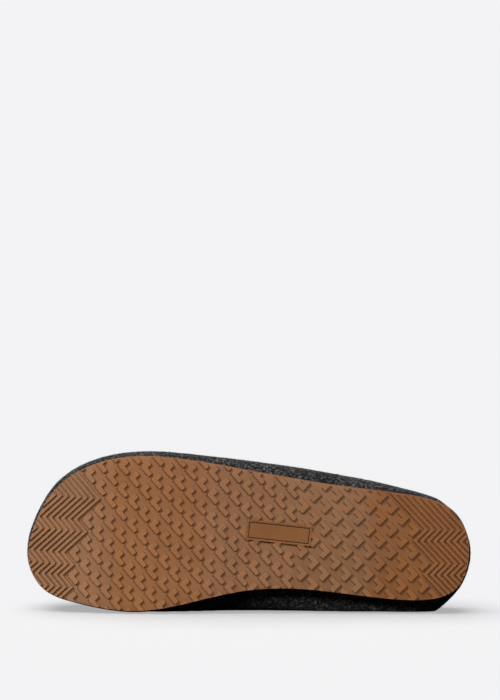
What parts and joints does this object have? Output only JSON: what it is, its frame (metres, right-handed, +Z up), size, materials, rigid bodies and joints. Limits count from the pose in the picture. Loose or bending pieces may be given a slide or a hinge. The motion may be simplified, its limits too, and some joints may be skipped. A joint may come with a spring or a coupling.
{
  "type": "slipper",
  "caption": "Left felt house slipper lying on its inner side, with a closed toe, an open collar, a low heel rim and a moulded rubber sole with angle lugs and zig-zag ribs.",
  "frame": {"origin": "on the floor, under the middle of the shoe as it lies on its inner side", "axes": "+X along the shoe towards the heel, +Y from the sole towards the collar, +Z up towards the shoe's outer side"},
  "size_m": [0.2772, 0.0714, 0.0993],
  "materials": {
    "gum_rubber": "matt moulded gum rubber",
    "wool_felt": "heathered charcoal wool felt",
    "footbed_felt": "grey felt footbed"
  },
  "bodies": {
    "root": {"outsole": "gum_rubber", "upper": "wool_felt", "insole": "footbed_felt"}
  },
  "joints": []
}
